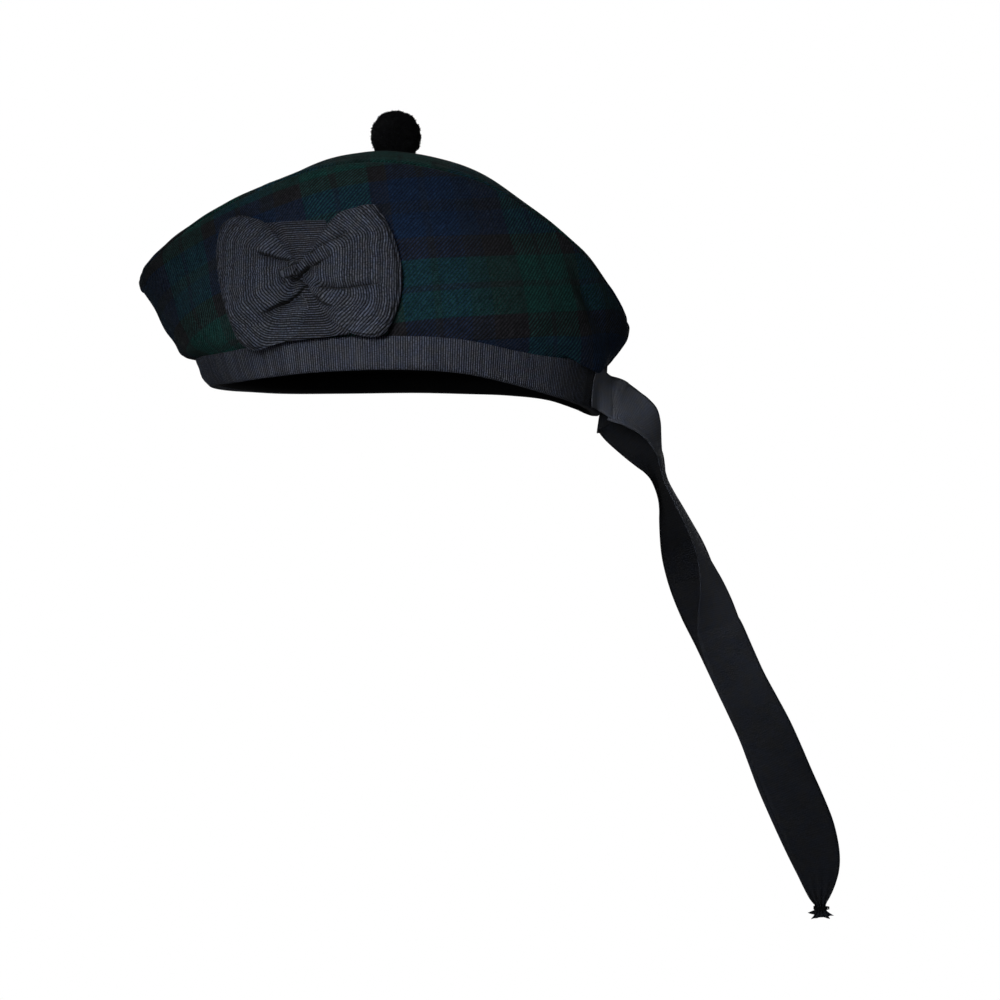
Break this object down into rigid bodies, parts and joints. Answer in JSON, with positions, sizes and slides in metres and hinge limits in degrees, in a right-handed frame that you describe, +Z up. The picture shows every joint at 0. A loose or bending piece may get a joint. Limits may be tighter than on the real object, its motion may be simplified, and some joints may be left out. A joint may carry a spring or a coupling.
{
  "type": "glengarry",
  "caption": "Tartan wool bonnet with a puffed body, domed crown and wool tourie, a ribbon-bound rim, a gathered ribbon rosette and ribbon tails tied at their ends.",
  "frame": {"origin": "middle of the head opening, level with the rim at its front, where a head holds the bonnet", "axes": "+X towards the back of the bonnet, -X its front, -Y the wearer's left with the rosette, +Z up"},
  "size_m": [0.3545, 0.1738, 0.4138],
  "materials": {
    "tartan_wool": "dark blue, green and black tartan, woven wool twill",
    "grosgrain": "charcoal ribbed ribbon",
    "tail_grosgrain": "black ribbed ribbon",
    "lining_cloth": "plain black cloth",
    "tourie_yarn": "black wool yarn",
    "tie_thread": "black thread"
  },
  "bodies": {
    "root": {"side_left": "tartan_wool", "side_right": "tartan_wool", "crown": "tartan_wool", "lining": "lining_cloth", "band": "grosgrain", "rosette_strip": "grosgrain", "rosette_bow": "grosgrain", "tourie": "tourie_yarn", "tail_left": "tail_grosgrain", "tail_right": "tail_grosgrain", "tail_tie": "tie_thread"}
  },
  "joints": []
}
